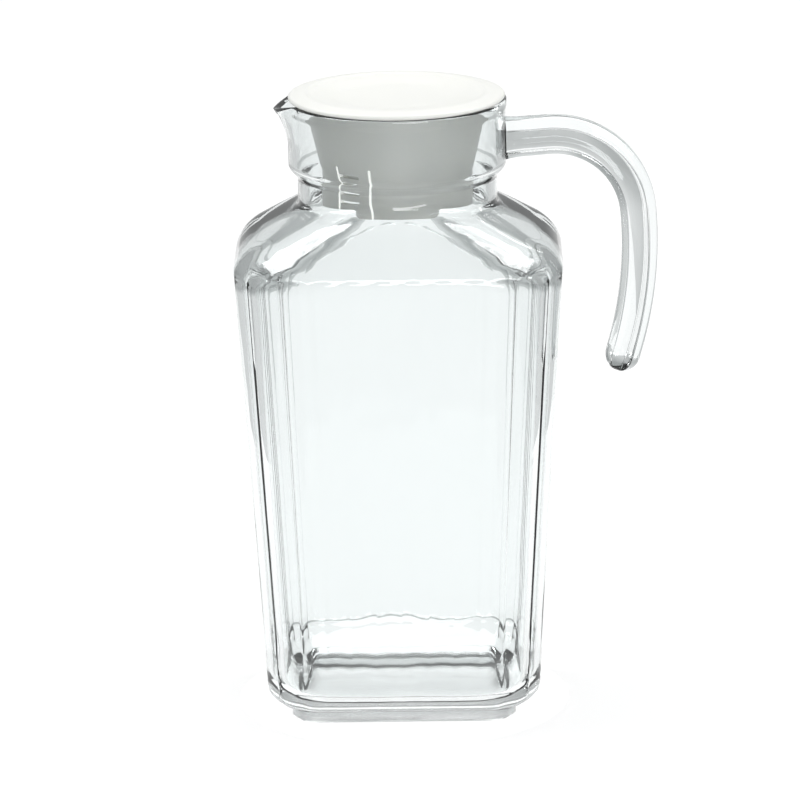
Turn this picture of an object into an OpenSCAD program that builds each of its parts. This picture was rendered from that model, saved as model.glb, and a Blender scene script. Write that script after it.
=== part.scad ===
// Glass refrigerator carafe with a press-in plastic lid.
// The jug is pressed and blown glass: an oblong body with cut corners that tapers
// towards its foot, shallow upright flutes all round, a faceted shoulder, a round
// collar with a spout, and a hanging handle that is open at its lower end.
// The frame: +Z is up, +X points to the handle, -X to the spout, and the origin is
// the centre of the foot on the table.

/* [Body] */
// Width of the body, spout side to handle side, where the wall would meet the shoulder
body_w = 125; // [112:0.1:142]
// Depth of the body, front to back, at the same height
body_d = 94; // [88:0.1:120]
// How much narrower the body is at the top of the heel, in width and in depth alike
taper = 19.4; // [10:0.1:24]
// How far the shoulder stands out over the flutes of the narrow sides and the corners
ledge = 1.3; // [0:0.1:2]
// How much higher that shoulder starts than the front's and the back's
side_rise = 4.2; // [0:0.1:8]
// From the rim down to where the wall line would meet the shoulder line
neck_h = 59.4; // [50:0.1:66]
// Height of the top of the rounded heel
heel_h = 11; // [8:0.5:16]
// Length cut from each side of a square corner, at the shoulder
corner_cut = 17.3; // [12:0.1:22]
// Thickness of the glass wall
wall = 3.5; // [2.5:0.1:5]
// Thickness of the glass floor
floor_t = 7; // [5:0.1:11]
// Radius that rounds the wall over into the shoulder
shoulder_r = 18.5; // [8:0.5:26]
// The same radius on the front and the back
front_r = 6; // [4.5:0.5:40]
// Slope of the shoulder over the narrow sides, in degrees from level
side_slope = 31; // [28:0.5:44]
// Slope of the shoulder over the front and the back, in degrees from level
front_slope = 73; // [64:0.5:76]
// Slope of the corner shoulder faces next to the sides, in degrees from level
side_corner_slope = 30; // [27:0.5:40]
// Slope of the corner shoulder faces next to the front, in degrees from level
front_corner_slope = 45; // [40:0.5:50]
// Radius inside between the floor and the wall
floor_r = 12; // [6:0.5:15]

/* [Foot] */
// How far the foot stands in from the top of the heel, at the front and the back
foot_in = 2.8; // [1.5:0.1:5]
// The same at the narrow sides
side_in = 9.6; // [3:0.1:11]
// The same at the corner faces next to the front
front_corner_in = 3.8; // [2:0.1:8]
// The same at the corner faces next to the sides
side_corner_in = 7; // [3:0.1:9]
// Height of the foot
foot_h = 4.2; // [3:0.1:7]
// Bevel under the edge of the foot
foot_bevel = 0.8; // [0.4:0.1:1.5]

/* [Flutes] */
// Flutes on the front and on the back
front_flutes = 8; // [5:1:11]
// Flutes on each narrow side
side_flutes = 5; // [3:1:8]
// Radius of the round tool that forms a flute
flute_r = 25; // [18:0.5:40]
// Width of the sharp land left between two flutes
flute_land = 0.6; // [0.3:0.1:1.5]

/* [Collar] */
// Height of the rim, where the lid rests
rim_h = 230.8; // [214:0.1:255]
// Outer diameter of the collar
collar_d = 80.6; // [76:0.2:90]
// Height of the collar from its rounded lower edge to the rim
collar_h = 26.5; // [20:0.5:34]
// Thickness of the collar's glass
collar_wall = 2.9; // [2.2:0.1:4]
// How far the waist between the collar and the shoulder lies in from the collar
waist_in = 3.4; // [2:0.1:4.5]
// Thickness of the glass at the waist, round the throat
waist_wall = 3.2; // [2.4:0.1:5]
// From the rim down to the waist
waist_drop = 29.4; // [28.5:0.1:33]
// Height of the bead round the rim
bead_h = 3.2; // [2:0.1:5]
// How far the bead stands out from the collar
bead_out = 0.35; // [0.2:0.05:0.8]

/* [Spout] */
// How far the tip of the lip stands out from the collar
spout_out = 5.4; // [3:0.1:9]
// How far the tip of the lip lies below the rim
spout_drop = 3.6; // [2:0.1:6]
// Height of the lip, measured down the collar
spout_h = 15.5; // [11:0.5:20]
// Width of the lip where it leaves the rim
spout_w = 27; // [20:0.5:34]
// Thickness of the lip
spout_t = 2.6; // [2:0.1:3.5]

/* [Handle] */
// From the rim down to the middle of the arm, where it leaves the collar
arm_drop = 15.5; // [10:0.1:20]
// Length of the straight arm from the collar to the knuckle
arm_l = 15.6; // [10:0.1:24]
// Rise of the arm, in degrees
arm_rise = 4; // [0:0.5:8]
// Radius of the knuckle, to the middle of the bar
knuckle_r = 31; // [24:0.5:38]
// Turn of the knuckle, in degrees
knuckle_turn = 89; // [80:1:95]
// Radius of the long leg, to the middle of the bar
leg_r = 146; // [110:1:220]
// Turn of the long leg, in degrees
leg_turn = 22; // [15:0.5:28]
// Thickness of the bar at the collar, in the plane of the handle
bar_t = 14.3; // [11:0.1:17]
// Thickness of the bar at its free end
bar_end_t = 12.9; // [10:0.1:15]
// Width of the bar across the handle
bar_w = 14; // [11:0.1:18]
// Length of the rounded free end
bar_nose = 7; // [4:0.5:10]

/* [Lid] */
// How far the edge of the lid's disc lies in from the face of the collar
disc_in = 0.3; // [-1:0.1:2]
// Thickness of the disc at its edge
disc_t = 1.8; // [1.4:0.1:3]
// Rise of the disc from its edge to the ring round the dish
disc_crown = 0.8; // [0.3:0.1:1.5]
// Width of the disc outside the ring round the dish
disc_border = 6.7; // [5:0.1:10]
// Width of the sloping border inside that ring
dish_slope_w = 14.3; // [8:0.1:18]
// Depth of the dish below the ring
dish_depth = 2; // [1:0.1:3]
// Clearance between the collar and the top of the plug
plug_gap = 3.4; // [2.5:0.1:6]
// Clearance between the throat and the foot of the plug
skirt_gap = 5.9; // [4:0.1:9]
// Depth of the cone below the disc
cone_depth = 26.5; // [20:0.5:32]
// Depth of the whole plug below the disc
plug_depth = 40; // [34:0.5:46]
// Thickness of the plug's wall
plug_wall = 1.5; // [1.2:0.1:2]
// Width of the slits beside the sprung tongue
slit_w = 0.7; // [0.4:0.1:1.2]

/* [Hidden] */
$fn = 96;
// One overrun serves every cut
over = 5;

// The plan is an oblong with each corner cut by two faces, turned 30 and 60 degrees.
// Every face is an outline, seen edge on, that stands a given distance from the axis:
// [distance at the shoulder, distance at the heel, slope of its shoulder, radius of its
// shoulder, how far the foot stands in, how far the shoulder stands out over the flutes,
// height where the wall line would meet the shoulder line].
face_turn = 30;
shoulder_h = rim_h - neck_h;
high_x = body_w / 2;
high_y = body_d / 2;
low_x = high_x - ledge - taper / 2;
low_y = high_y - taper / 2;
low_cut = corner_cut * low_x / high_x;
// Distance from the axis of a face with its normal turned, through a point
function across(x, y, turn) = x * cos(turn) + y * sin(turn);
side_face = [high_x, low_x, side_slope, shoulder_r, side_in, ledge, shoulder_h + side_rise];
front_face = [high_y, low_y, front_slope, front_r, foot_in, 0, shoulder_h];
side_corner = [across(high_x, high_y + ledge - corner_cut, face_turn),
               across(low_x, low_y - low_cut, face_turn),
               side_corner_slope, shoulder_r, side_corner_in, ledge, shoulder_h + side_rise];
front_corner = [across(high_x - corner_cut, high_y + ledge, 90 - face_turn),
                across(low_x - low_cut, low_y, 90 - face_turn),
                front_corner_slope, shoulder_r, front_corner_in, ledge, shoulder_h + side_rise];

function lean_of(face) = atan((face[0] - face[1]) / (face[6] - heel_h));
function distance_at(face, h) = face[1] + (h - heel_h) * tan(lean_of(face));
// Points along an arc, from one angle to another
function arc(centre, r, from, to, steps) =
    [for (i = [0:steps]) let (turn = from + (to - from) * i / steps) centre + r * [cos(turn), sin(turn)]];

// The wall and shoulder lines meet at corner, where an arc rounds the one into the other
shoulder_steps = 7;
function shoulder_arc(r, face, corner) =
    let (lean = lean_of(face))
    let (back = r * tan((90 + lean - face[2]) / 2))
    let (start = corner - back * [sin(lean), cos(lean)])
    arc(start + r * [-cos(lean), sin(lean)], r, -lean, 90 - face[2], shoulder_steps);

// Outline of a face seen edge on: along the foot, round the heel, up the wall and over the shoulder
heel_steps = 5;
function outer_side(face) =
    let (inset = face[4])
    let (foot = face[1] - inset)
    concat(
        [[0, 0], [foot - foot_bevel, 0], [foot, foot_bevel], [foot, foot_h]],
        [for (i = [1:heel_steps]) [foot + inset * sin(90 * i / heel_steps),
                                   foot_h + (heel_h - foot_h) * (1 - cos(90 * i / heel_steps))]],
        shoulder_arc(face[3], face, [face[0], face[6]]),
        [[0, face[6] + face[0] * tan(face[2])]]
    );

// Outline of the inside of the same face, one wall thickness in from the ridges of the flutes
floor_steps = 6;
function inner_side(outer_face) =
    let (face = [for (i = [0:6]) i == 0 ? outer_face[0] - outer_face[5] : outer_face[i]])
    let (lean = lean_of(face))
    let (low = distance_at(face, floor_t + floor_r) - (wall + floor_r) / cos(lean))
    let (inward = [-cos(lean) - sin(face[2]), sin(lean) - cos(face[2])] / (1 + sin(face[2] - lean)))
    let (corner = [face[0], face[6]] + wall * inward)
    concat(
        [[0, floor_t]],
        arc([low, floor_t + floor_r], floor_r, -90, -lean, floor_steps),
        shoulder_arc(face[3] - wall, face, corner),
        [[0, corner[1] + corner[0] * tan(face[2])]]
    );

// A slab right across the body, whose two long sides have a face's outline
module slab(side, turn) {
    rotate([90, 0, turn])
        linear_extrude(height = 2 * body_w, center = true)
            polygon(concat(side, [for (i = [len(side) - 1:-1:0]) [-side[i][0], side[i][1]]]));
}

// The body outside: twelve faces from six slabs
module outer_form() {
    intersection() {
        slab(outer_side(side_face), 0);
        slab(outer_side(front_face), 90);
        slab(outer_side(side_corner), face_turn);
        slab(outer_side(side_corner), -face_turn);
        slab(outer_side(front_corner), 90 - face_turn);
        slab(outer_side(front_corner), face_turn - 90);
    }
}

// The hollow inside it
module inner_form() {
    intersection() {
        slab(inner_side(side_face), 0);
        slab(inner_side(front_face), 90);
        slab(inner_side(side_corner), face_turn);
        slab(inner_side(side_corner), -face_turn);
        slab(inner_side(front_corner), 90 - face_turn);
        slab(inner_side(front_corner), face_turn - 90);
    }
}

// How deep a flute of a given width cuts into its face
function flute_depth(width) = flute_r - sqrt(flute_r * flute_r - width * width / 4);

// One flute: a long round tool laid up a face. Its middle lies side_high off the face's centre
// at the shoulder and side_low off it at the heel, and it is pitch_high and pitch_low wide there.
module flute(face, side_high, side_low, pitch_high, pitch_low) {
    low = [face[1] + flute_r - flute_depth(pitch_low - flute_land), side_low, heel_h];
    high = [face[0] - face[5] + flute_r - flute_depth(pitch_high - flute_land), side_high, face[6]];
    run = high - low;
    length = norm(run);
    translate(low)
        rotate([0, acos(run[2] / length), atan2(run[1], run[0])])
            translate([0, 0, -length / 4])
                cylinder(r = flute_r, h = length * 3 / 2);
}

// A row of equal flutes over a face that is span_high wide at the shoulder
module flute_row(face, count, span_high, span_low) {
    pitch_high = span_high / count;
    pitch_low = span_low / count;
    for (i = [0:count - 1]) {
        place = i - (count - 1) / 2;
        flute(face, place * pitch_high, place * pitch_low, pitch_high, pitch_low);
    }
}

// The one flute of a corner face, between its two edges. Each edge is a point of the plan,
// given at the shoulder and at the heel, and lies off the face's centre by its sideways part.
function sideways(x, y, turn) = y * cos(turn) - x * sin(turn);
module corner_flute(face, turn, high_a, high_b, low_a, low_b) {
    high = [sideways(high_a[0], high_a[1], turn), sideways(high_b[0], high_b[1], turn)];
    low = [sideways(low_a[0], low_a[1], turn), sideways(low_b[0], low_b[1], turn)];
    rotate([0, 0, turn])
        flute(face, (high[0] + high[1]) / 2, (low[0] + low[1]) / 2,
              abs(high[0] - high[1]), abs(low[0] - low[1]));
}

// Where the two faces of a cut corner meet each other, as a share of the cut
mid_share = 1 - 1 / (1 + tan(face_turn));
module flutes() {
    high_side = [high_x, high_y - corner_cut];
    high_mid = [high_x - mid_share * corner_cut, high_y - mid_share * corner_cut];
    high_front = [high_x - corner_cut, high_y];
    low_side = [low_x, low_y - low_cut];
    low_mid = [low_x - mid_share * low_cut, low_y - mid_share * low_cut];
    low_front = [low_x - low_cut, low_y];
    for (half = [0, 180]) rotate([0, 0, half]) {
        flute_row(side_face, side_flutes, 2 * high_side[1], 2 * low_side[1]);
        rotate([0, 0, 90])
            flute_row(front_face, front_flutes, 2 * high_front[0], 2 * low_front[0]);
        for (flip = [0, 1]) mirror([0, flip, 0]) {
            corner_flute(side_corner, face_turn, high_side, high_mid, low_side, low_mid);
            corner_flute(front_corner, 90 - face_turn, high_mid, high_front, low_mid, low_front);
        }
    }
}

collar_r = collar_d / 2;
waist_r = collar_r - waist_in;
bore_r = collar_r - collar_wall;
throat_r = waist_r - waist_wall;
waist_h = rim_h - waist_drop;
collar_low = rim_h - collar_h;
collar_round = 3;
waist_round = 6;
rim_round = 1;
bore_step = 6;

// The collar, its rim bead, the waist, and the fillet that runs out onto the shoulder
module collar() {
    rotate_extrude()
        polygon(concat(
            [[throat_r, collar_low - waist_round * 2]],
            [[throat_r, rim_h]],
            arc([collar_r + bead_out - rim_round, rim_h - rim_round], rim_round, 90, 0, 4),
            [[collar_r + bead_out, rim_h - bead_h], [collar_r, rim_h - bead_h - bead_out]],
            arc([collar_r - collar_round, collar_low + collar_round], collar_round, 0, -60, 4),
            arc([waist_r + waist_round, waist_h], waist_round, 160, 232, 8),
            [[collar_r, collar_low - waist_round * 2]]
        ));
}

// The hole down through the collar and the throat, with a rounded mouth
module bore() {
    rotate_extrude()
        polygon(concat(
            [[0, shoulder_h], [throat_r, shoulder_h], [throat_r, waist_h]],
            [[bore_r, waist_h + bore_step]],
            arc([bore_r + rim_round, rim_h - rim_round], rim_round, 180, 90, 4),
            [[bore_r + rim_round, rim_h + over], [0, rim_h + over]]
        ));
}

spout_turn = asin(spout_w / 2 / collar_r);
// How much narrower its channel is on each side, in degrees round the collar
channel_turn = spout_turn - 4;
spout_ball = spout_t / 2;

// Four balls, whose hull is the lip, or, drawn in by one thickness and opened upwards, its channel
module lip() {
    root = collar_r - spout_ball;
    color("azure") hull() {
        translate([-collar_r - spout_out + spout_ball, 0, rim_h - spout_drop - spout_ball])
            sphere(spout_ball, $fn = 32);
        translate([-root, 0, rim_h - spout_h]) sphere(spout_ball, $fn = 32);
        for (side = [-1, 1]) rotate([0, 0, side * spout_turn])
            translate([-root, 0, rim_h - spout_ball]) sphere(spout_ball, $fn = 32);
    }
}

module lip_channel() {
    root = collar_r - spout_t;
    hull() {
        for (rise = [0, over]) {
            translate([-collar_r - spout_out + spout_t, 0, rim_h - spout_drop + spout_ball / 2 + rise])
                sphere(spout_ball, $fn = 32);
            for (side = [-1, 1]) rotate([0, 0, side * channel_turn])
                translate([-root, 0, rim_h + rise]) sphere(spout_ball, $fn = 32);
        }
        translate([-root, 0, rim_h - spout_h + 2 * spout_t]) sphere(spout_ball, $fn = 32);
    }
}

module jug_body() {
    color("azure") difference() {
        union() {
            difference() {
                outer_form();
                flutes();
                translate([0, 0, waist_h]) cylinder(r = high_x, h = body_w);
            }
            collar();
            lip();
        }
        inner_form();
        bore();
        lip_channel();
    }
}

// The handle's middle line: a straight arm, a tight knuckle and a long leg, as [x, height, heading]
arm_h = rim_h - arm_drop;
arm_start = [collar_r - over, arm_h - over * sin(arm_rise), arm_rise];
arm_end = arm_start + [(arm_l + over) * cos(arm_rise), (arm_l + over) * sin(arm_rise), 0];
// A point on an arc that turns down from a point of the line
function turned(from, r, turn) =
    [from[0] + r * (sin(from[2]) - sin(from[2] - turn)),
     from[1] - r * (cos(from[2]) - cos(from[2] - turn)), from[2] - turn];
knuckle_end = turned(arm_end, knuckle_r, knuckle_turn);
leg_end = turned(knuckle_end, leg_r, leg_turn);
knuckle_steps = 14;
leg_steps = 10;
nose_steps = 5;
bar_line = concat(
    [arm_start, (arm_start * 2 + arm_end) / 3, (arm_start + arm_end * 2) / 3],
    [for (i = [0:knuckle_steps]) turned(arm_end, knuckle_r, knuckle_turn * i / knuckle_steps)],
    [for (i = [1:leg_steps]) turned(knuckle_end, leg_r, leg_turn * i / leg_steps)]
);

// Half of the bar's outline, as shares of half its thickness and half its width, from the inside
// of the handle round to the outside: two soft ridges on each side and a flat back
bar_shares = [[-1, 0.4], [-0.9, 0.66], [-0.62, 0.92], [-0.36, 1],
              [-0.05, 0.98], [0.7, 0.78], [0.92, 0.62], [1, 0.4]];
function bar_ring(place, half_t, half_b) =
    let (out = [-sin(place[2]), 0, cos(place[2])])
    let (middle = [place[0], 0, place[1]])
    concat(
        [for (s = bar_shares) middle + s[0] * half_t * out + [0, s[1] * half_b, 0]],
        [for (i = [len(bar_shares) - 1:-1:0])
            middle + bar_shares[i][0] * half_t * out - [0, bar_shares[i][1] * half_b, 0]]
    );

// Half thickness along the line, and the rings of the rounded nose
function taper(i) = (bar_t + (bar_end_t - bar_t) * i / (len(bar_line) - 1)) / 2;
function width_at(i) = bar_w / 2 * taper(i) / taper(0);
bar_rings = concat(
    [for (i = [0:len(bar_line) - 1]) bar_ring(bar_line[i], taper(i), width_at(i))],
    [for (i = [1:nose_steps])
        let (swing = 80 * i / nose_steps)
        let (step = bar_nose * sin(swing))
        bar_ring(leg_end + [step * cos(leg_end[2]), step * sin(leg_end[2]), 0],
                 bar_end_t / 2 * cos(swing), width_at(len(bar_line) - 1) * cos(swing))]
);
ring_n = 2 * len(bar_shares);
last_ring = len(bar_rings) - 1;

module handle() {
    color("azure") difference() {
        polyhedron(
            points = [for (ring = bar_rings) each ring],
            faces = concat(
                [[for (j = [0:ring_n - 1]) j]],
                [for (i = [0:last_ring - 1]) for (j = [0:ring_n - 1])
                    [i * ring_n + (j + 1) % ring_n, i * ring_n + j, (i + 1) * ring_n + j]],
                [for (i = [0:last_ring - 1]) for (j = [0:ring_n - 1])
                    [i * ring_n + (j + 1) % ring_n, (i + 1) * ring_n + j, (i + 1) * ring_n + (j + 1) % ring_n]],
                [[for (j = [ring_n - 1:-1:0]) last_ring * ring_n + j]]
            ));
        translate([0, 0, arm_h - bar_t]) cylinder(r = collar_r, h = 2 * bar_t);
    }
}

disc_r = collar_r - disc_in;
dish_r = disc_r - disc_border;
dish_floor_r = dish_r - dish_slope_w;
plug_top_r = bore_r - plug_gap;
plug_low_r = throat_r - skirt_gap;
plug_low = rim_h - plug_depth;
cone_low = rim_h - cone_depth;
disc_top = rim_h + disc_t;
ring_top = disc_top + disc_crown;
dish_low = ring_top - dish_depth;
disc_round = 0.6;
dish_edge = 0.8;

// The slit and window places round the plug, in degrees, and their sizes
tongue_turn = 236;
tongue_span = 28;
window_turn = 223;
window_span = 18;
pad_turn = 251;
pad_span = 34;
pad_t = 1;
slit_h = 19;
window_heights = [5.2, 9, 15];
window_h = 1.2;

// A band round part of the plug: from an inner to an outer radius, between two heights
module band(turn, span, inner, outer, low, high) {
    rotate([0, 0, turn])
        rotate_extrude(angle = span)
            translate([inner, low])
                square([outer - inner, high - low]);
}

// The dished disc, with the hollow cone and skirt under it
module lid_shell() {
    rotate_extrude()
        polygon([
            [0, dish_low],
            [dish_floor_r, dish_low],
            [dish_r - dish_edge, ring_top - dish_edge / 2],
            [dish_r, ring_top],
            [disc_r - disc_round, disc_top],
            [disc_r, disc_top - disc_round],
            [disc_r, rim_h + disc_round],
            [disc_r - disc_round, rim_h],
            [plug_top_r, rim_h],
            [plug_low_r, cone_low],
            [plug_low_r, plug_low],
            [plug_low_r - plug_wall, plug_low],
            [plug_low_r - plug_wall, cone_low],
            [dish_r - dish_edge - plug_wall, dish_low],
            [dish_floor_r, dish_low - plug_wall],
            [0, dish_low - plug_wall]
        ]);
}

// The same with thicker pads inside the skirt, and the slits and windows cut through it
module lid() {
    color("white") difference() {
        union() {
            lid_shell();
            for (half = [0, 180])
                band(pad_turn + half, pad_span, plug_low_r - plug_wall - pad_t, plug_low_r - plug_wall / 2,
                     plug_low, cone_low);
        }
        for (half = [0, 180]) {
            for (edge = [-1, 1])
                rotate([0, 0, tongue_turn + half + edge * tongue_span / 2])
                    translate([plug_low_r / 2, -slit_w / 2, plug_low - over])
                        cube([plug_low_r, slit_w, slit_h + over]);
            for (rise = window_heights)
                band(window_turn + half, window_span, plug_low_r - plug_wall - over, plug_low_r + over,
                     plug_low + rise, plug_low + rise + window_h);
        }
    }
}

jug_body();
handle();
lid();
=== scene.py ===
from math import acos, atan, atan2, cos, degrees, exp, pi, radians, sin, sqrt, tan

import bmesh
import bpy
from mathutils import Matrix, Vector


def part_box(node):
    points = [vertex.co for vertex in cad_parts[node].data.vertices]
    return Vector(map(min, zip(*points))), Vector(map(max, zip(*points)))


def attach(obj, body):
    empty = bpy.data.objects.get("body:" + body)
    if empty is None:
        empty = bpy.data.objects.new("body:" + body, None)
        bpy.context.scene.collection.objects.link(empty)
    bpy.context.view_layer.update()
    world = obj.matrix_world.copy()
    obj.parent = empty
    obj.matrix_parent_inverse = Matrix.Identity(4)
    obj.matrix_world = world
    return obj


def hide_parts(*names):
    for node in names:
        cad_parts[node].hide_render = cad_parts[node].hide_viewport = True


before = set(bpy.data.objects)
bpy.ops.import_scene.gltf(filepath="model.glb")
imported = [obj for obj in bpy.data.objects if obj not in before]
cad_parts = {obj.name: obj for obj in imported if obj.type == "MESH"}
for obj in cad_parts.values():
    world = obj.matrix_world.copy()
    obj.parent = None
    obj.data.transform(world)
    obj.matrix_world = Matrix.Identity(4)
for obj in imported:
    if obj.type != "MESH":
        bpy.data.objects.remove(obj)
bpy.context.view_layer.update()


# Camera and studio. A long lens looks a little down on the front of the carafe, as a
# catalogue photograph does, with the handle on the right and the lip on the left.
camera_distance = 2.1691
camera_elevation = radians(15.29)
camera_orbit = radians(-0.48)
camera_roll = radians(-0.8)
focal_pixels = 5804.93
picture_pixels = 800
aim_height = 0.1163
aim_pixel = Vector((400.54, 397.4))

orbit = Matrix.Rotation(-camera_orbit, 3, "Z")
aim = Vector((0, 0, aim_height))
out = Vector((0, -cos(camera_elevation), sin(camera_elevation)))
look = -out
right = Vector((1, 0, 0))
pan = atan((aim_pixel.x - picture_pixels / 2) / focal_pixels)
tilt = atan((aim_pixel.y - picture_pixels / 2) / focal_pixels)
up = right.cross(look)
look, right = look * cos(pan) - right * sin(pan), right * cos(pan) + look * sin(pan)
look, up = look * cos(tilt) + up * sin(tilt), up * cos(tilt) - look * sin(tilt)
right, up = (right * cos(camera_roll) + up * sin(camera_roll),
             up * cos(camera_roll) - right * sin(camera_roll))
camera_data = bpy.data.cameras.new("camera")
camera_data.sensor_width = 36
camera_data.lens = camera_data.sensor_width * focal_pixels / picture_pixels
camera_data.clip_end = 20
camera = bpy.data.objects.new("camera", camera_data)
turn = Matrix((orbit @ right, orbit @ up, orbit @ -look)).transposed()
camera.matrix_world = Matrix.Translation(orbit @ (out * camera_distance) + aim) @ turn.to_4x4()
bpy.context.scene.collection.objects.link(camera)
bpy.context.scene.camera = camera
bpy.context.scene.view_settings.view_transform = "Standard"


def soft_light(name, place, size, power):
    """An oblong studio light that looks at the middle of the carafe."""
    data = bpy.data.lights.new(name, "AREA")
    data.shape = "RECTANGLE"
    data.size, data.size_y = size
    data.energy = power
    light = bpy.data.objects.new(name, data)
    light.location = place
    light.rotation_euler = (aim - Vector(place)).to_track_quat("-Z", "Y").to_euler()
    bpy.context.scene.collection.objects.link(light)


soft_light("left_light", place=(-1.28, 0.3, 1.65), size=(0.8, 0.8), power=17)
soft_light("right_light", place=(1.28, 0.3, 1.65), size=(0.8, 0.8), power=15)
soft_light("front_light", place=(0.5, -2.0, 0.5), size=(1.4, 0.5), power=15)


class Wire:
    """A shader socket that takes arithmetic: each operator adds its Math node."""

    def __init__(self, tree, socket):
        self.tree, self.socket = tree, socket

    def math(self, operation, other):
        return node(self.tree, "ShaderNodeMath", {"operation": operation}, {0: self, 1: other})

    def __add__(self, other):
        return self.math("ADD", other)

    def __mul__(self, other):
        return self.math("MULTIPLY", other)

    __radd__, __rmul__ = __add__, __mul__


def node(tree, kind, settings=None, inputs=None, output=0):
    """Adds one shader node, with its settings first and then its sockets' values or links."""
    made = tree.nodes.new(kind)
    for key, value in (settings or {}).items():
        if key == "stops":
            band = made.color_ramp
            while len(band.elements) < len(value):
                band.elements.new(0.5)
            for element, (place, colour) in zip(band.elements, value):
                element.position, element.color = place, colour
        else:
            setattr(made, key, value)
    for key, value in (inputs or {}).items():
        if isinstance(value, Wire):
            tree.links.new(value.socket, made.inputs[key])
        else:
            made.inputs[key].default_value = value
    return Wire(tree, made.outputs[output]) if len(made.outputs) else None


def mix(tree, share, first, second, blend="MIX"):
    """One colour or the other, or both multiplied, by a share of 0 to 1."""
    settings = {"data_type": "RGBA", "blend_type": blend}
    return node(tree, "ShaderNodeMix", settings, {0: share, 6: first, 7: second}, output=2)


def axes(tree, way):
    """The three parts of a direction or a place."""
    return [node(tree, "ShaderNodeSeparateXYZ", inputs={0: way}, output=axis) for axis in "XYZ"]


world = bpy.data.worlds.new("studio")
bpy.context.scene.world = world
world.use_nodes = True
air = world.node_tree
air.nodes.clear()
white = (1, 1, 1, 1)
card_blue = 0.05
ring_blend = 3
sky_x, sky_y, sky_z = axes(air, node(air, "ShaderNodeTexCoord", output="Generated"))


def card(along, stops):
    """Grey cards round the carafe, as a ramp of brightness along one direction."""
    greys = [(place, (bright * (1 - card_blue * (1 - bright)), bright, bright, 1)) for place, bright in stops]
    return node(air, "ShaderNodeValToRGB", {"stops": greys}, {0: along * 0.5 + 0.5})


side_card = card(sky_x, [(0, 0.78), (0.1, 0.72), (0.25, 0.66), (0.35, 0.77), (0.42, 1),
                         (0.58, 1), (0.65, 0.77), (0.75, 0.66), (0.9, 0.72), (1, 0.78)])
back_card = card(sky_z, [(0, 0.6), (0.2, 0.8), (0.28, 1), (0.39, 1), (0.45, 0.74),
                         (0.52, 0.56), (0.65, 0.58), (0.8, 0.75), (0.9, 1)])
front_card = card(sky_z, [(0, 0.8), (0.42, 0.8), (0.5, 0.6), (0.6, 0.42), (0.8, 0.4), (0.92, 1)])
ring_card = mix(air, sky_y * ring_blend + 0.5, front_card, back_card)
cards = mix(air, 1.0, side_card, ring_card, "MULTIPLY")
shown = mix(air, node(air, "ShaderNodeLightPath", output="Is Camera Ray"), cards, white)
sky = node(air, "ShaderNodeBackground", inputs={"Color": shown, "Strength": 1.0})
node(air, "ShaderNodeOutputWorld", inputs={"Surface": sky})

floor_wide, floor_near, floor_far, floor_gap = 0.62, -0.6, 1.6, 0.0005
sheet = bmesh.new()
bmesh.ops.create_grid(sheet, x_segments=2, y_segments=2, size=0.5)
bmesh.ops.scale(sheet, vec=(floor_wide, floor_far - floor_near, 1), verts=sheet.verts[:])
bmesh.ops.translate(sheet, vec=(0, (floor_far + floor_near) / 2, 0), verts=sheet.verts[:])
floor_mesh = bpy.data.meshes.new("floor")
sheet.to_mesh(floor_mesh)
sheet.free()
floor = bpy.data.objects.new("floor", floor_mesh)
floor.location.z = -floor_gap
bpy.context.scene.collection.objects.link(floor)
paper = bpy.data.materials.new("paper")
paper.use_nodes = True
paper_tree = paper.node_tree
paper_shader = paper_tree.nodes["Principled BSDF"]
paper_shader.inputs["Roughness"].default_value = 0.7
paper_shader.inputs["Specular IOR Level"].default_value = 0.1
paper_shader.inputs["Emission Strength"].default_value = 0.9
paper_low, paper_high = (0.33, 0.33, 0.33, 1), (0.35, 0.35, 0.35, 1)
# The floor glows evenly, as a light table does, and glows more in a disc under the carafe: painted light that
# fills in the carafe's shadow on it.
painted_light_r, glow_wide, painted_light_under = 0.062, 0.76, 0.24
paper_place = node(paper_tree, "ShaderNodeTexCoord", output="Object")
from_middle = node(paper_tree, "ShaderNodeVectorMath", {"operation": "LENGTH"}, {0: paper_place},
                   output="Value")
# Even glow everywhere, plus painted light in the disc under the carafe.
even_glow_and_painted_light = from_middle.math("LESS_THAN", painted_light_r) * painted_light_under + glow_wide
paper_tree.links.new(even_glow_and_painted_light.socket, paper_shader.inputs["Emission Color"])
grain = node(paper_tree, "ShaderNodeTexNoise", inputs={"Scale": 40.0, "Detail": 3.0})
paper_tone = mix(paper_tree, grain, paper_low, paper_high)
paper_tree.links.new(paper_tone.socket, paper_shader.inputs["Base Color"])
floor.data.materials.append(paper)


# Jug. One piece of clear soda-lime glass, pressed at the collar and blown below it in an
# oblong mould with cut corners. Its walls carry shallow upright flutes, and its rim is
# drawn out into a lip opposite the handle, which is pressed on at the collar.
mm = 0.001
body_w, body_d, taper, ledge, side_rise = 125.0, 94.0, 19.4, 1.3, 4.2
shoulder_h, heel_h, corner_cut = 171.4, 11.0, 17.3
shoulder_r, front_r = 18.5, 6.0
side_slope, front_slope, side_corner_slope, front_corner_slope = 31.0, 73.0, 30.0, 45.0
foot_in, side_in, front_corner_in, side_corner_in = 2.8, 9.6, 3.8, 7.0
foot_h, foot_mid, foot_round, heel_blend = 4.2, 2.4, 0.8, 1
wall, floor_t, floor_r, floor_rise, far_rise = 3.5, 7.0, 16.0, 10.0, 7.0
far_share = 0.6
settle_h, settle_in, settle_w, settle_full = 18.9, 1.3, 0.8, 0.5
settle_waves, wave_turn, wave_reach = ((6, 0.9), (3, 0.4)), 1.69, 12
flute_r, front_flutes, side_flutes, flute_fade = 25.0, 8, 5, 16
flute_shares = (0, 0.05, 0.17, 0.33, 0.5, 0.67, 0.83, 0.95)
flute_deep_shares = {front_flutes: 0.85, side_flutes: 0.4, 1: 0.25}
ridge_soft, corner_bead, bead_top = 0.25, 0.74, 3
wall_power, bead_power, shoulder_power, crisp_end, soft_end = 50, 190, 22, 4, 16
bead_turn, bead_turn_reach = 35.3, 6
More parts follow.
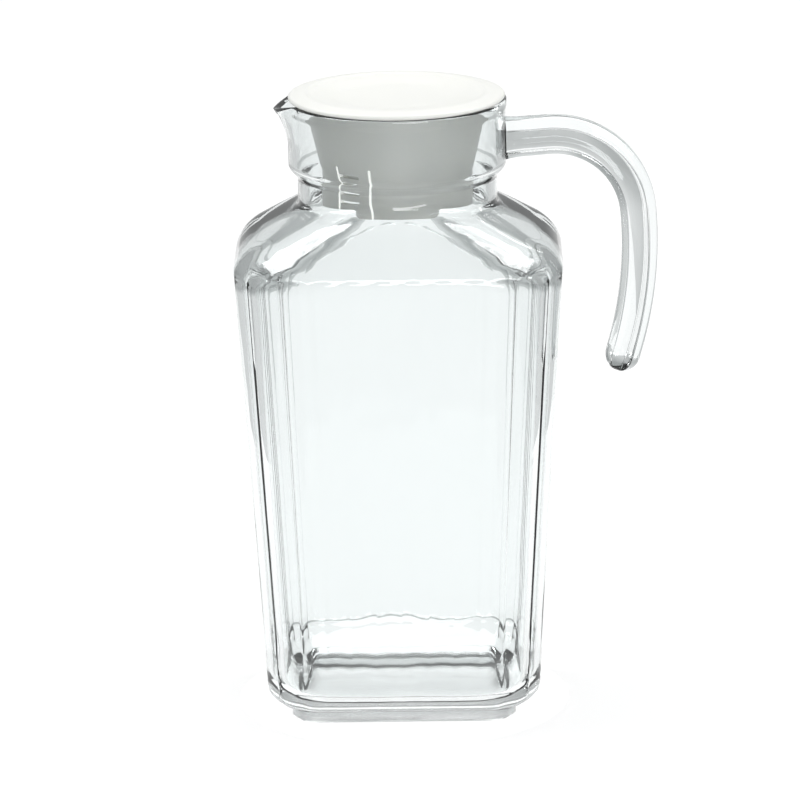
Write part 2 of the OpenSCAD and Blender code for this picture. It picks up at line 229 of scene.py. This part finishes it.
inner_power, inner_neck_power, inner_crisp_end, inner_soft_end = 22, 12, -4, 6
facing_share = 0.3
rim_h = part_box("jug_body")[1].z / mm
collar_r, waist_r, bore_r, throat_r = 40.3, 36.9, 37.4, 33.7
collar_low, waist_h = rim_h - 26.5, rim_h - 29.4
bead_low, bead_rise, bead_out, rim_round = rim_h - 4.2, 1.5, 0.35, 1.0
collar_round, bore_step, neck_soft = 2.6, 6.0, 4.0
neck_start, neck_from, neck_bend = 8, 14.5, 0.035
spout_out, spout_drop, spout_h, spout_w = 5.724, 3.6, 15.5, 27.0
spout_reach, spout_tip_round = 1.15, 0.012
spout_pinch, spout_flare = 1.15, 1.25

face_step = 30
high_x, high_y = body_w / 2, body_d / 2
low_x, low_y = high_x - ledge - taper / 2, high_y - taper / 2
low_cut = corner_cut * low_x / high_x


def ramp(h, start, end):
    """Climbs from 0 at the start to 1 at the end, and stays at both outside of them."""
    return min(max((h - start) / (end - start), 0), 1)


def eased(h, start, end):
    """The same climb with both of its ends rounded."""
    return 0.5 - 0.5 * cos(pi * ramp(h, start, end))


class Face:
    """One of the twelve faces of the body, seen edge on: how far it stands from the axis."""

    def __init__(self, turn, high, low, slope, round_r, inset, out, corner_h, flutes=1):
        self.turn, self.slope, self.flutes = radians(turn), radians(slope), flutes
        self.high, self.low, self.round_r, self.inset = high, low, round_r, inset
        self.ridge_high, self.corner_h = high - out, corner_h

    def line(self, high, h):
        """A straight wall line that ends at a distance at the shoulder."""
        return self.low + (h - heel_h) * (high - self.low) / (self.corner_h - heel_h)

    def ridge(self, h):
        """The line that the ridges between the flutes run on."""
        return self.line(self.ridge_high, h)

    def lean(self, high):
        """How far a wall line leans out from upright."""
        return atan((high - self.low) / (self.corner_h - heel_h))

    def rounded(self, h, lean, corner, corner_h, round_r):
        """The wall line, the arc and the shoulder line that meet at a corner point."""
        back = round_r * tan((pi / 2 + lean - self.slope) / 2)
        start_h = corner_h - back * cos(lean)
        end_h = corner_h + back * sin(self.slope)
        if h <= start_h:
            return corner + (h - corner_h) * tan(lean)
        if h >= end_h:
            return corner - (h - corner_h) / tan(self.slope)
        centre = corner - back * sin(lean) - round_r * cos(lean)
        centre_h = start_h + round_r * sin(lean)
        return centre + sqrt(max(round_r ** 2 - (h - centre_h) ** 2, 0))

    def outer(self, h):
        """The outside at a height: the foot, the heel's curve, and the wall up to the shoulder."""
        foot = self.low - self.inset
        if h < foot_round:
            return foot - foot_round + h
        if h <= foot_h:
            return foot
        if h < heel_h:
            return foot + self.inset * sin(acos(1 - (h - foot_h) / (heel_h - foot_h)))
        return self.rounded(h, self.lean(self.high), self.high, self.corner_h, self.round_r)

    def inner(self, h):
        """The inside at a height, one wall in, with the floor as a bowl that is deeper at the far side."""
        lean = self.lean(self.ridge_high)
        square = 1 + sin(self.slope - lean)
        corner = self.ridge_high - wall * (cos(lean) + sin(self.slope)) / square
        corner_h = self.corner_h + wall * (sin(lean) - cos(self.slope)) / square
        side = self.rounded(h, lean, corner, corner_h, self.round_r - wall)
        far = far_share * sin(self.turn)
        deep = 1 - ramp(h, floor_t, floor_t + floor_rise + far_rise * far)
        return side - floor_r * (1 + far) * (1 - sqrt(1 - deep ** 2))


def across(x, y, angle):
    """How far a point in the plan stands out in a direction."""
    return x * cos(radians(angle)) + y * sin(radians(angle))


def corner_faces(first, second):
    """The two faces of a cut corner: one is turned first, next to a side, and one second."""
    side_high = across(high_x, high_y + ledge - corner_cut, face_step)
    side_low = across(low_x, low_y - low_cut, face_step)
    front_high = across(high_x - corner_cut, high_y + ledge, 2 * face_step)
    front_low = across(low_x - low_cut, low_y, 2 * face_step)
    return [Face(first, side_high, side_low, side_corner_slope, shoulder_r, side_corner_in, ledge,
                 shoulder_h + side_rise),
            Face(second, front_high, front_low, front_corner_slope, shoulder_r, front_corner_in, ledge,
                 shoulder_h + side_rise)]


faces = []
for half in (0, 180):
    faces.append(Face(half, high_x, low_x, side_slope, shoulder_r, side_in, ledge, shoulder_h + side_rise,
                      side_flutes))
    faces += corner_faces(half + face_step, half + 2 * face_step)
    faces.append(Face(half + 3 * face_step, high_y, low_y, front_slope, front_r, foot_in, 0, shoulder_h,
                      front_flutes))
    faces += corner_faces(half + 5 * face_step, half + 4 * face_step)[::-1]


def corner_point(a, b, h):
    """Where two neighbouring faces' ridge lines cross in the plan, at a height."""
    da, db = a.ridge(h), b.ridge(h)
    det = sin(b.turn - a.turn)
    return Vector(((da * sin(b.turn) - db * sin(a.turn)) / det, (db * cos(a.turn) - da * cos(b.turn)) / det))


def columns(h):
    """The bearing of every column of points round the body at a height, with its face and its
    flute's depth. Fire polishing has softened the flutes, the corners' and the narrow sides' most.
    The middle edge of each cut corner carries a bead, which is a flute that stands out."""
    h = min(max(h, heel_h), shoulder_h)
    found = []
    for i, face in enumerate(faces):
        start = corner_point(faces[i - 1], face, h)
        end = corner_point(face, faces[(i + 1) % len(faces)], h)
        width = (end - start).length / face.flutes
        deep = (flute_r - sqrt(flute_r ** 2 - (width / 2) ** 2)) * flute_deep_shares[face.flutes]
        for k in range(face.flutes):
            for share in flute_shares:
                point = start.lerp(end, (k + share) / face.flutes)
                cut = deep * (1 - (2 * share - 1) ** 2)
                if share == 0 and face.flutes == 1 and faces[i - 1].flutes == 1:
                    cut = -corner_bead
                found.append((atan2(point.y, point.x), face, cut))
    return found


def soft_most(a, b, reach):
    """The larger of two lengths, with a fillet where they are near each other."""
    share = ramp(a - b, -reach, reach)
    return b + (a - b) * share + reach * share * (1 - share)


def plan_radius(bearing, distances, power):
    """How far the body reaches on a bearing; the lower the power, the rounder its corners."""
    near = [d / cos(bearing - turn) for turn, d in distances if cos(bearing - turn) > facing_share]
    least = min(near)
    return least * sum((r / least) ** -power for r in near) ** (-1 / power)


def crispness(h, bearing):
    """The outside's power: highest at each cut corner's middle edge, and ever lower up the shoulder."""
    turn = degrees(atan2(abs(sin(bearing)), abs(cos(bearing))))
    edge = max(1 - ((turn - bead_turn) / bead_turn_reach) ** 2, 0)
    edge *= 1 - ramp(h, shoulder_h - crisp_end, shoulder_h + crisp_end)
    softer = ramp(h, shoulder_h + crisp_end, shoulder_h + soft_end)
    return wall_power + bead_power * edge + (shoulder_power - wall_power) * softer


def neck_in(h):
    """The shoulder bends in ever more towards the round neck."""
    return neck_bend * max(h - shoulder_h - neck_from, 0) ** 2


def outer_level(h):
    """The outside's radius at a height, for a column: its bearing, its face and its flute's depth."""
    distances = [(face.turn, face.outer(h)) for face in faces]
    ridges = [(face.turn, face.ridge(h)) for face in faces]
    neck = neck_radius(h)
    fade = ramp(h, foot_h, heel_h + flute_fade)

    def radius(bearing, face, deep):
        power = crispness(h, bearing)
        form = plan_radius(bearing, distances, power)
        flute = max(deep, 0) * fade / cos(bearing - face.turn)
        fluted = plan_radius(bearing, ridges, power) - flute
        body = -soft_most(-form, -fluted, ridge_soft) if h > heel_h - heel_blend else min(form, fluted)
        body += max(-deep, 0) * fade * (1 - ramp(h, shoulder_h - bead_top, shoulder_h + bead_top))
        body -= neck_in(h)
        return soft_most(body, neck, neck_soft) if h > shoulder_h + neck_start else body
    return radius


def inner_level(h):
    """The inside's radius at a height, one wall in and without flutes."""
    distances = [(face.turn, face.inner(h)) for face in faces]
    softer = ramp(h, shoulder_h + inner_crisp_end, shoulder_h + inner_soft_end)
    power = inner_power + (inner_neck_power - inner_power) * softer
    settle = settle_in * exp(-((h - settle_h) / settle_w) ** 2)

    def radius(bearing, face, deep):
        if h > waist_h:
            return throat_r + (bore_r - throat_r) * eased(h, waist_h, waist_h + bore_step)
        body = plan_radius(bearing, distances, power) - neck_in(h)
        body += settle * ramp(sin(bearing), 0, settle_full)
        return soft_most(body, throat_r, neck_soft) if h > shoulder_h + inner_crisp_end else body
    return radius


def neck_radius(h):
    """The outside of the waist, the collar's S-shaped underside, the collar and its rim bead."""
    under = (collar_r - waist_r) * eased(h, waist_h, collar_low + collar_round)
    return waist_r + under + bead_out * eased(h, bead_low, bead_low + bead_rise)


spout_turn = atan(spout_w / 2 / collar_r)


def draw_lip(bearing, r, h):
    """Pushes the collar out into the pouring lip, on the side away from the handle."""
    off = abs(abs(bearing) - pi) / spout_turn
    climb = (h - rim_h + spout_h) / spout_h
    if off >= spout_reach or climb <= 0:
        return r, h
    side = 1 - sqrt(off ** 2 + spout_tip_round) / sqrt(spout_reach ** 2 + spout_tip_round)
    side = max(side, 0) ** spout_pinch
    return r + spout_out * side * climb ** spout_flare, h - spout_drop * side * climb ** 2


def spread(start, end, count):
    """Even steps from one length to another, both of them included."""
    return [start + (end - start) * i / count for i in range(count + 1)]


def tube(mesh, count, rows, place):
    """A grid of count columns and some rows, rolled into a tube, with both of its ends filled."""
    bmesh.ops.create_grid(mesh, x_segments=count, y_segments=rows - 1, size=1)
    for vert in mesh.verts:
        column = round((vert.co.x + 1) / 2 * count) % count
        vert.co = Vector(place(column, round((vert.co.y + 1) / 2 * (rows - 1)))) * mm
    bmesh.ops.remove_doubles(mesh, verts=mesh.verts[:], dist=1e-7)
    bmesh.ops.holes_fill(mesh, edges=mesh.edges[:], sides=0)
    bmesh.ops.recalc_face_normals(mesh, faces=mesh.faces[:])


def settle_wave(bearing, h):
    """The blown floor's upper edge isn't level: it rises and falls a little round the inside."""
    wave = sum(size * cos(count * (bearing - wave_turn)) for count, size in settle_waves)
    return wave * max(1 - abs(h - settle_h) / wave_reach, 0)


floor_shares = (0.05, 0.5, 0.9)
heel_rows, rim_rows, bowl_rows, rim_flat, bowl_h = 6, 9, 14, 0.6, settle_h - 3
# Bands of the grid's rows, from one height to another, close together where the form turns.
outer_bands = [(heel_h + 3, shoulder_h - 12, 12), (shoulder_h - 8, shoulder_h - 2.5, 4),
               (shoulder_h - 2, shoulder_h + 4.3, 18), (shoulder_h + 5, waist_h - 1, 24),
               (waist_h, waist_h + 6.5, 14), (rim_h - 19, rim_h - 5, 8),
               (bead_low - 0.2, rim_h - rim_round, 5)]
inner_bands = [(rim_h - rim_round, waist_h + bore_step + 0.5, 10), (waist_h + bore_step, waist_h, 8),
               (waist_h - 1, shoulder_h - 24, 44), (shoulder_h - 30, settle_h + 5, 10),
               (settle_h + 2.5, settle_h - 2.5, 12)]
levels = [(outer_level(0), 0, share) for share in floor_shares]
heights = [0, foot_round / 2, foot_round, foot_mid, foot_h - foot_round / 2, foot_h]
heights += [foot_h + (heel_h - foot_h) * (1 - cos(pi / 2 * i / heel_rows)) for i in range(1, heel_rows + 1)]
heights += [h for band in outer_bands for h in spread(*band)]
levels += [(outer_level(h), h, 1) for h in heights]
rim_out = collar_r + bead_out
for swing in [pi * i / rim_rows for i in range(1, rim_rows)]:
    rim_r = (rim_out + bore_r) / 2 + (rim_out - bore_r) / 2 * cos(swing)
    rim_up = rim_h - rim_round + rim_round * sin(swing) ** rim_flat
    levels.append((lambda bearing, face, deep, r=rim_r: r, rim_up, 1))
heights = [h for band in inner_bands for h in spread(*band)]
heights += [floor_t + (bowl_h - floor_t) * (1 - sin(pi / 2 * i / bowl_rows)) for i in range(bowl_rows + 1)]
inside_from = len(levels)
levels += [(inner_level(h), h, 1) for h in heights]
levels += [(inner_level(floor_t), floor_t, share) for share in reversed(floor_shares)]
level_columns = [columns(h) for radius, h, share in levels]


def jug_place(column, row):
    """Where a point of the grid goes: from the underside up the outside, over the rim and down inside."""
    radius, h, share = levels[row]
    bearing, face, deep = level_columns[row][column]
    r, z = draw_lip(bearing, radius(bearing, face, deep) * share, h)
    if row >= inside_from:
        z += settle_wave(bearing, h)
    return r * cos(bearing), r * sin(bearing), z


jug = bmesh.new()
tube(jug, len(level_columns[0]), len(levels), jug_place)


# Handle. A solid glass bar that leaves the collar, turns down in a tight knuckle and runs
# on as a long leg to a free rounded end. Each of its flanks has two ridges, the outer one
# standing out further, and it is fused to the jug while both are hot.
arm_h, arm_l, arm_rise = rim_h - 15.5, 15.6, 4.0
knuckle_r, knuckle_turn, leg_r, leg_turn = 31.0, 89.0, 146.0, 22.0
bar_t, bar_end_t, bar_w, bar_nose, nose_turn = 14.3, 12.9, 14.0, 7.0, 84.0
root_in, root_flare, root_reach = 1.6, 0.10, 8.0
arm_rows, knuckle_rows, leg_rows, nose_rows = 10, 26, 24, 8
bar_shares = [(-1, 0.34), (-0.95, 0.55), (-0.74, 0.76), (-0.7, 0.8), (-0.66, 0.8), (-0.6, 0.76),
              (0.45, 0.96), (0.5, 1), (0.56, 1), (0.6, 0.95), (0.78, 0.78), (0.93, 0.55), (1, 0.34)]


def turned(place, r, angle):
    """A point on an arc that turns down from a place on the bar's middle line."""
    x, z, heading = place
    later = heading - radians(angle)
    return x + r * (sin(heading) - sin(later)), z - r * (cos(heading) - cos(later)), later


rise = radians(arm_rise)
line = [(collar_r + s * cos(rise), arm_h + s * sin(rise), rise) for s in spread(-root_in, arm_l, arm_rows)]
arm_end = line[-1]
line += [turned(arm_end, knuckle_r, angle) for angle in spread(0, knuckle_turn, knuckle_rows)[1:]]
knuckle_end = line[-1]
line += [turned(knuckle_end, leg_r, angle) for angle in spread(0, leg_turn, leg_rows)[1:]]
leg_end = line[-1]
bar_rings = []
for i, (x, z, heading) in enumerate(line):
    along = i / (len(line) - 1)
    swell = 1 + root_flare * max(1 - (x - collar_r + root_in) / root_reach, 0) ** 2 if i <= arm_rows else 1
    half_t = (bar_t + (bar_end_t - bar_t) * along) / 2
    bar_rings.append((x, z, heading, half_t * swell, bar_w / 2 * half_t / (bar_t / 2) * swell))
for angle in spread(0, nose_turn, nose_rows)[1:]:
    swing = radians(angle)
    step = bar_nose * sin(swing)
    bar_rings.append((leg_end[0] + step * cos(leg_end[2]), leg_end[1] + step * sin(leg_end[2]), leg_end[2],
                      bar_end_t / 2 * cos(swing), bar_w / 2 * bar_end_t / bar_t * cos(swing)))
outline = bar_shares + [(u, -v) for u, v in reversed(bar_shares)]


def bar_place(column, row):
    """Where a point of the handle's grid goes: round the bar, and along it from root to nose."""
    x, z, heading, half_t, half_b = bar_rings[row]
    u, v = outline[column]
    return x - u * half_t * sin(heading), v * half_b, z + u * half_t * cos(heading)


bar = bmesh.new()
tube(bar, len(outline), len(bar_rings), bar_place)


def piece_from(mesh, name):
    """Makes a finished bmesh an object at the origin."""
    data = bpy.data.meshes.new(name)
    mesh.to_mesh(data)
    mesh.free()
    made = bpy.data.objects.new(name, data)
    bpy.context.scene.collection.objects.link(made)
    return made


def apply_modifiers(made):
    """Replaces an object's mesh by the one that its modifiers give, and takes them off."""
    flat = bpy.data.meshes.new_from_object(made.evaluated_get(bpy.context.evaluated_depsgraph_get()))
    made.modifiers.clear()
    made.data = flat


def smooth(made, angle):
    """Shades a piece smooth but for the edges that turn by more than an angle."""
    for polygon in made.data.polygons:
        polygon.use_smooth = True
    made.data.set_sharp_from_angle(angle=radians(angle))


jug_glass = piece_from(jug, "jug_glass")
handle_bar = piece_from(bar, "handle_bar")
joined = jug_glass.modifiers.new("handle_on", "BOOLEAN")
joined.operation = "UNION"
joined.solver = "EXACT"
joined.object = handle_bar
apply_modifiers(jug_glass)
bpy.data.objects.remove(handle_bar)
smooth(jug_glass, angle=35)
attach(jug_glass, "jug")
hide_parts("jug_body", "handle")

glass = bpy.data.materials.new("clear_glass")
glass.use_nodes = True
glass_tree = glass.node_tree
glass_shader = glass_tree.nodes["Principled BSDF"]
glass_shader.inputs["Transmission Weight"].default_value = 1.0
glass_shader.inputs["IOR"].default_value = 1.5
glass_low, glass_high = (0.905, 0.93, 0.929, 1), (0.92, 0.941, 0.941, 1)
glass_rough, under_rough, under_h = 0.012, 0.12, 0.0003
glass_place = node(glass_tree, "ShaderNodeTexCoord", output="Object")
flow = node(glass_tree, "ShaderNodeTexNoise", inputs={"Vector": glass_place, "Scale": 38.0, "Detail": 1.0})
tone = mix(glass_tree, flow, glass_low, glass_high)
glass_tree.links.new(tone.socket, glass_shader.inputs["Base Color"])
glass_z = node(glass_tree, "ShaderNodeSeparateXYZ", inputs={0: glass_place}, output="Z")
polish = flow * glass_rough + glass_z.math("LESS_THAN", under_h) * under_rough
glass_tree.links.new(polish.socket, glass_shader.inputs["Roughness"])
waves = node(glass_tree, "ShaderNodeBump", inputs={"Height": flow, "Strength": 0.12, "Distance": 0.002})
glass_tree.links.new(waves.socket, glass_shader.inputs["Normal"])
jug_glass.data.materials.clear()
jug_glass.data.materials.append(glass)


# Lid. One moulding of white slightly see-through plastic: a dished disc that rests on the
# rim, and under it a hollow cone and skirt with two sprung tongues cut free by slits.
disc_r, disc_t, crown = 40.0, 1.8, 0.8
dish_r, dish_floor_r, dish_depth, dish_edge = 33.3, 19.0, 2.0, 0.8
dish_rows, dish_start_share = 9, 0.1
ring_half, ring_round, ring_wide, ring_fall = 0.3, 0.1, 1.2, 0.05
brim_wide, brim_rise, brim_edge, brim_edge_rise = 3.0, 0.42, 1.4, 0.1
plug_top_r, plug_low_r, cone_depth, plug_depth, plug_wall = 34.0, 27.8, 26.5, 40.0, 1.5
neck_round, plug_round, cone_out, cone_up = 0.8, 0.3, 0.15, 0.6
slit_w, slit_h = 0.7, 19.0
tongue_turn, tongue_span, window_turn, window_span = 236.0, 28.0, 232.0, 18.0
window_rises, window_h = (5.2, 9.0, 15.0), 1.2
pad_turn, pad_span, pad_t, pad_up = 251.0, 34.0, 1.0, 0.2
lid_steps, pad_steps, window_steps, cut_over, cut_under = 160, 12, 8, 6.0, 5.0
disc_top = rim_h + disc_t
ring_top = disc_top + crown
dish_low = ring_top - dish_depth
plug_low, cone_low = rim_h - plug_depth, rim_h - cone_depth
edge_r = disc_t / 2
dish_wide = dish_r - dish_edge - dish_floor_r
dish_fall = dish_depth - dish_edge / 2


def arc(x, z, r, start, end, count):
    """Points on an arc round a centre, between two angles in degrees."""
    turns = [radians(angle) for angle in spread(start, end, count)]
    return [(x + r * cos(turn), z + r * sin(turn)) for turn in turns]


lid_line = [(0, dish_low), (dish_floor_r, dish_low)]
lid_line += [(dish_floor_r + dish_wide * share, dish_low + dish_fall * eased(share, 0, 1))
             for share in spread(dish_start_share, 1, dish_rows)]
lid_line += [(dish_r - ring_half, ring_top - ring_round), (dish_r + ring_half, ring_top),
             (dish_r + ring_wide, ring_top - ring_fall), (disc_r - brim_wide, disc_top + brim_rise),
             (disc_r - brim_edge, disc_top + brim_edge_rise)]
lid_line += arc(disc_r - edge_r, rim_h + edge_r, edge_r, start=75, end=-90, count=8)
lid_line += [(plug_top_r + neck_round, rim_h), (plug_top_r, rim_h - neck_round),
             (plug_low_r + cone_out, cone_low + cone_up), (plug_low_r, cone_low),
             (plug_low_r, plug_low + plug_round), (plug_low_r - plug_round, plug_low),
             (plug_low_r - plug_wall + plug_round, plug_low), (plug_low_r - plug_wall, plug_low + plug_round),
             (plug_low_r - plug_wall, cone_low), (dish_r - dish_edge - plug_wall, dish_low),
             (dish_floor_r, dish_low - plug_wall), (0, dish_low - plug_wall)]
lid = bmesh.new()
profile = [lid.verts.new((x * mm, 0, z * mm)) for x, z in lid_line]
profile_edges = [lid.edges.new(pair) for pair in zip(profile, profile[1:])]
bmesh.ops.spin(lid, geom=profile + profile_edges, cent=(0, 0, 0), axis=(0, 0, 1), angle=2 * pi,
               steps=lid_steps, use_merge=True)
bmesh.ops.remove_doubles(lid, verts=lid.verts[:], dist=1e-6)
bmesh.ops.recalc_face_normals(lid, faces=lid.faces[:])


def curved_block(mesh, turn, span, inner, outer, low, high, steps):
    """A solid block that follows the plug round, from one bearing over a span in degrees."""
    x, y = cos(radians(turn)), sin(radians(turn))
    corners = [(inner, low), (outer, low), (outer, high), (inner, high)]
    block = [mesh.verts.new((r * x * mm, r * y * mm, h * mm)) for r, h in corners]
    edges = [mesh.edges.new((block[i - 1], block[i])) for i in range(4)]
    first = bmesh.ops.contextual_create(mesh, geom=edges)["faces"]
    bmesh.ops.spin(mesh, geom=first, cent=(0, 0, 0), axis=(0, 0, 1), angle=radians(span), steps=steps)


cuts, pads = bmesh.new(), bmesh.new()
slit_span = degrees(slit_w / plug_low_r)
cut_in, cut_out = plug_low_r - cut_over, plug_low_r + cut_over
for half in (0, 180):
    for edge in (-1, 1):
        slit_turn = tongue_turn + half + edge * tongue_span / 2 - slit_span / 2
        curved_block(cuts, slit_turn, slit_span, cut_in, cut_out, plug_low - cut_under, plug_low + slit_h, 1)
    for window_rise in window_rises:
        window_low = plug_low + window_rise
        curved_block(cuts, window_turn + half - window_span / 2, window_span, cut_in, cut_out,
                     window_low, window_low + window_h, window_steps)
    curved_block(pads, pad_turn + half, pad_span, plug_low_r - plug_wall - pad_t, plug_low_r - plug_wall / 2,
                 plug_low + pad_up, cone_low, pad_steps)
for made in (cuts, pads):
    bmesh.ops.remove_doubles(made, verts=made.verts[:], dist=1e-6)
    bmesh.ops.recalc_face_normals(made, faces=made.faces[:])
lid_piece = piece_from(lid, "lid_moulding")
cut_piece, pad_piece = piece_from(cuts, "lid_cuts"), piece_from(pads, "lid_pads")
for tool, operation in ((pad_piece, "UNION"), (cut_piece, "DIFFERENCE")):
    step = lid_piece.modifiers.new(operation, "BOOLEAN")
    step.operation = operation
    step.solver = "EXACT"
    step.object = tool
apply_modifiers(lid_piece)
bpy.data.objects.remove(cut_piece)
bpy.data.objects.remove(pad_piece)
smooth(lid_piece, angle=30)
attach(lid_piece, "lid")
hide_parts("lid")

plastic = bpy.data.materials.new("white_plastic")
plastic.use_nodes = True
plastic_tree = plastic.node_tree
plastic_shader = plastic_tree.nodes["Principled BSDF"]
plastic_place = node(plastic_tree, "ShaderNodeTexCoord", output="Object")
lid_low, lid_high = (0.82, 0.82, 0.785, 1), (0.845, 0.843, 0.812, 1)
lid_rough, lid_rough_spread, painted_glow_reach = 0.32, 0.1, 0.019
fine = node(plastic_tree, "ShaderNodeTexNoise",
            inputs={"Vector": plastic_place, "Scale": 900.0, "Detail": 2.0})
cloud = node(plastic_tree, "ShaderNodeTexNoise",
             inputs={"Vector": plastic_place, "Scale": 30.0, "Detail": 2.0})
lid_white = mix(plastic_tree, cloud, lid_low, lid_high)
plastic_tree.links.new(lid_white.socket, plastic_shader.inputs["Base Color"])
sheen = lid_rough + cloud * lid_rough_spread
plastic_tree.links.new(sheen.socket, plastic_shader.inputs["Roughness"])
pebble = node(plastic_tree, "ShaderNodeBump", inputs={"Height": fine, "Strength": 0.08, "Distance": 0.0002})
plastic_tree.links.new(pebble.socket, plastic_shader.inputs["Normal"])
# Painted light: the plastic glows on the cut sides of the two slits of the near tongue, standing in for light
# that comes through them.
lid_x, lid_y, lid_z = axes(plastic_tree, plastic_place)
lid_bearing = lid_y.math("ARCTAN2", lid_x)
slit_bearings = [radians(tongue_turn + edge * tongue_span / 2 - 360) for edge in (-1, 1)]
near_slit = sum(node(plastic_tree, "ShaderNodeMath", {"operation": "COMPARE"},
                     {0: lid_bearing, 1: slit, 2: painted_glow_reach}) for slit in slit_bearings)
slit_painted_glow = near_slit * lid_z.math("LESS_THAN", (plug_low + slit_h) * mm)
plastic_tree.links.new(slit_painted_glow.socket, plastic_shader.inputs["Emission Color"])
# Strength of the painted glow at the slits.
plastic_shader.inputs["Emission Strength"].default_value = 0.4
plastic_shader.inputs["Subsurface Weight"].default_value = 0.25
plastic_shader.inputs["Subsurface Radius"].default_value = (0.004, 0.004, 0.0036)
lid_piece.data.materials.clear()
lid_piece.data.materials.append(plastic)
